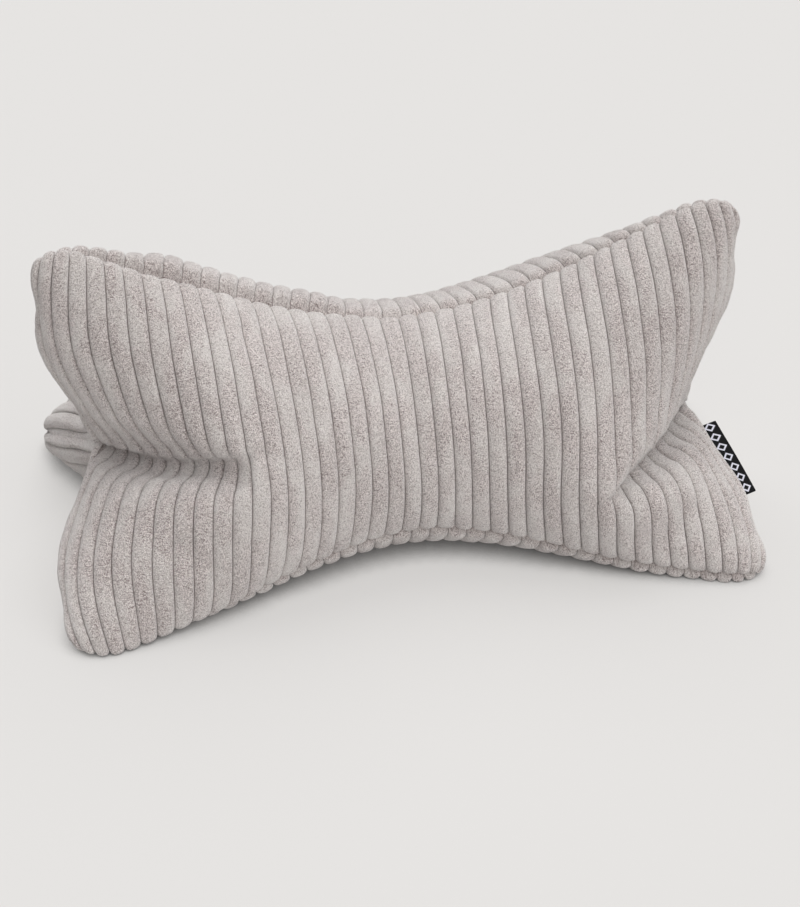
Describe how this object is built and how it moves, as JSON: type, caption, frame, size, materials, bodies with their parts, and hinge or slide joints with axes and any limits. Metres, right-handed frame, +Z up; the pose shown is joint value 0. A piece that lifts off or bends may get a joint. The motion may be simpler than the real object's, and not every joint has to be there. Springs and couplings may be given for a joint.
{
  "type": "neck pillow",
  "caption": "Bone-shaped stuffed neck pillow of wide-wale corduroy panels, drawn in at its waist, with knobs at both ends and a small side label.",
  "frame": {"origin": "on the surface the pillow rests on, under the middle of its box", "axes": "+X along the pillow to the end that has the label, +Z up, -Y to the front with the label's knob below"},
  "size_m": [0.4436, 0.2628, 0.2147],
  "materials": {
    "corduroy": "soft wide-wale plush corduroy in a light warm grey",
    "label_ribbon": "dense woven ribbon, nearly black"
  },
  "bodies": {
    "root": {"pillow": "corduroy", "label": "label_ribbon"}
  },
  "joints": []
}
